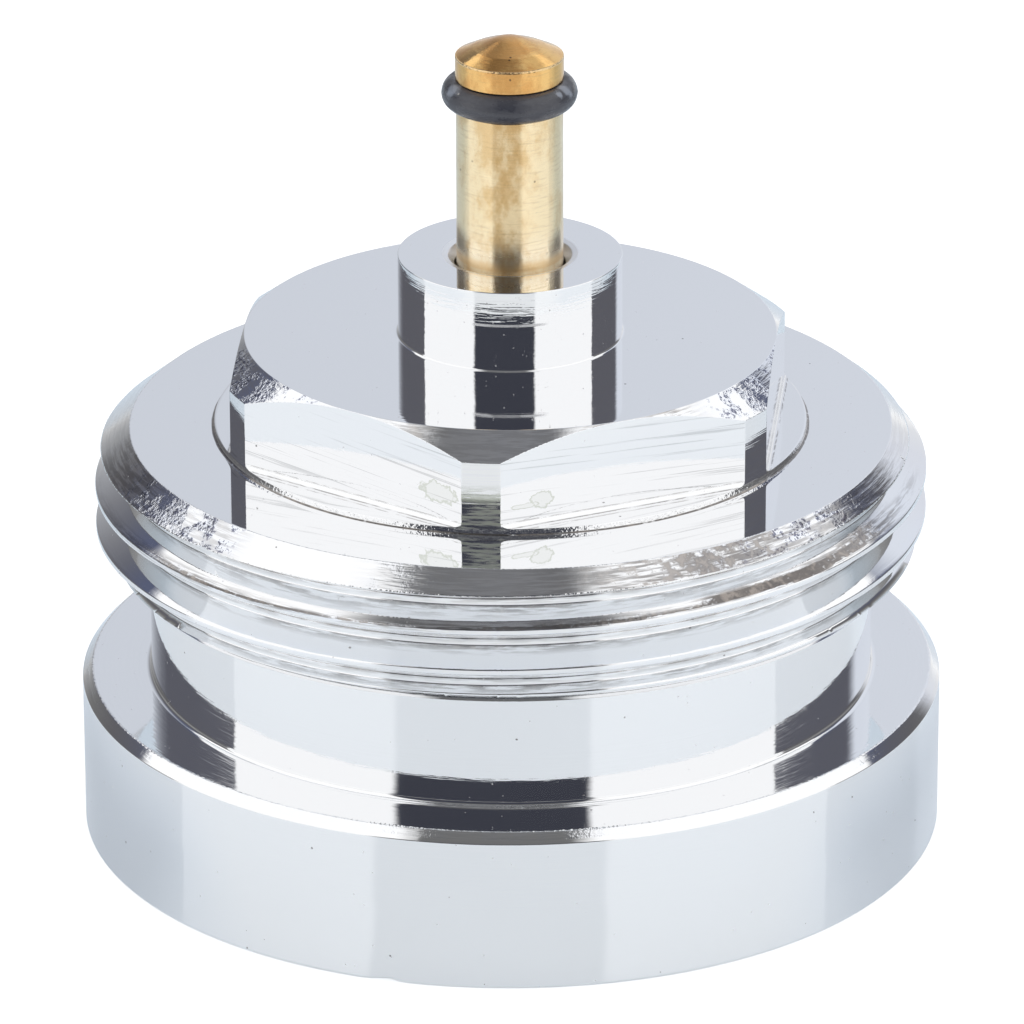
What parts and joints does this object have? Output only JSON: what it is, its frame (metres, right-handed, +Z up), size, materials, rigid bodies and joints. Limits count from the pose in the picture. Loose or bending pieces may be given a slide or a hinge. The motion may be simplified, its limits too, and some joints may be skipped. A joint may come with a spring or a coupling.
{
  "type": "radiator thermostat adapter",
  "caption": "Round plated adapter with a threaded lower ring, a plain neck, an outside thread, a hexagon and a sliding brass push pin with a rubber ring near its tip.",
  "frame": {"origin": "centre of the lower ring's underside, on the turning axis", "axes": "+Z up the turning axis towards the pin's tip; -Y faces the picture's camera"},
  "size_m": [0.031, 0.031, 0.0297],
  "materials": {
    "plated_metal": "bright nickel plate over turned and milled brass, with fine tool marks",
    "pin_brass": "turned brass, bright with brown tarnish and small pits",
    "seal_rubber": "moulded black rubber, slightly greased"
  },
  "bodies": {
    "body": {"adapter_body": "plated_metal"},
    "pin": {"push_pin": "pin_brass", "rubber_ring": "seal_rubber"}
  },
  "joints": [
    {"name": "pin_slide", "type": "slide", "parent": "body", "child": "pin", "axis": [0, 0, 1], "range_m": [-0.0055, 0]}
  ]
}
